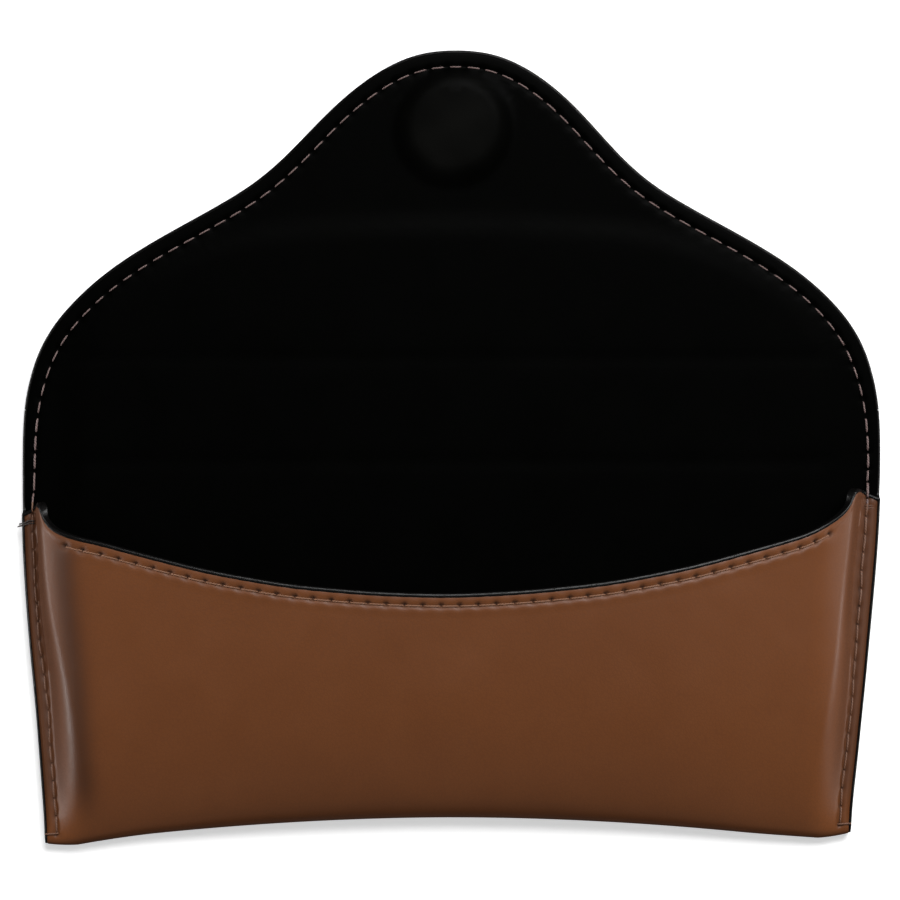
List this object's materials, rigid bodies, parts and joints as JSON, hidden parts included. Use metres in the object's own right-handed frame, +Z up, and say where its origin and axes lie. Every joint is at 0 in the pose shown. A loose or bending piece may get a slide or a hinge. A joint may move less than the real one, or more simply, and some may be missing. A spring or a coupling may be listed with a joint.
{
  "type": "soft spectacles pouch",
  "caption": "Soft envelope pouch for folded spectacles, with a bulged front pocket and a curved fold-over flap held shut by hidden magnets.",
  "frame": {"origin": "middle of the rest plane, under the middle of the open pouch's length and width", "axes": "+X across the pouch, +Y from the bottom fold to the tip of the flap, +Z up out of the front panel"},
  "size_m": [0.1764, 0.1626, 0.0194],
  "materials": {
    "brown_leather": "smooth semi-gloss synthetic leather",
    "black_lining": "fine matte microfibre",
    "stiffener_board": "bonded fibre board",
    "magnet": "nickel plated",
    "magnet_patch": "non-woven tape",
    "thread": "twisted polyester thread",
    "edge_paint": "satin edge coating"
  },
  "bodies": {
    "pouch": {"pouch_leather": "brown_leather", "pocket_lining": "black_lining", "back_board": "stiffener_board", "front_magnet": "magnet", "front_magnet_patch": "magnet_patch", "mouth_stitching": "thread", "left_seam_stitching": "thread", "right_seam_stitching": "thread", "left_bar_tack": "thread", "right_bar_tack": "thread", "left_edge_paint": "edge_paint", "right_edge_paint": "edge_paint", "mouth_edge_paint": "edge_paint"},
    "spine": {"spine_leather": "brown_leather", "spine_lining": "black_lining", "spine_board": "stiffener_board", "spine_stitching": "thread", "spine_edge_paint": "edge_paint"},
    "flap": {"flap_leather": "brown_leather", "flap_lining": "black_lining", "flap_board": "stiffener_board", "flap_magnet": "magnet", "flap_magnet_patch": "magnet_patch", "flap_stitching": "thread", "flap_edge_paint": "edge_paint"}
  },
  "joints": [
    {"name": "back_crease", "type": "hinge", "parent": "pouch", "child": "spine", "pos_m": [0, -0.0033, 0.00235], "axis": [1, 0, 0], "range_deg": [0, 90]},
    {"name": "flap_crease", "type": "hinge", "parent": "spine", "child": "flap", "pos_m": [0, 0.0179, 0.00235], "axis": [1, 0, 0], "range_deg": [0, 95.4]}
  ],
  "couplings": [
    {"joint": "flap_crease", "follows": "back_crease", "ratio": 1.06}
  ]
}
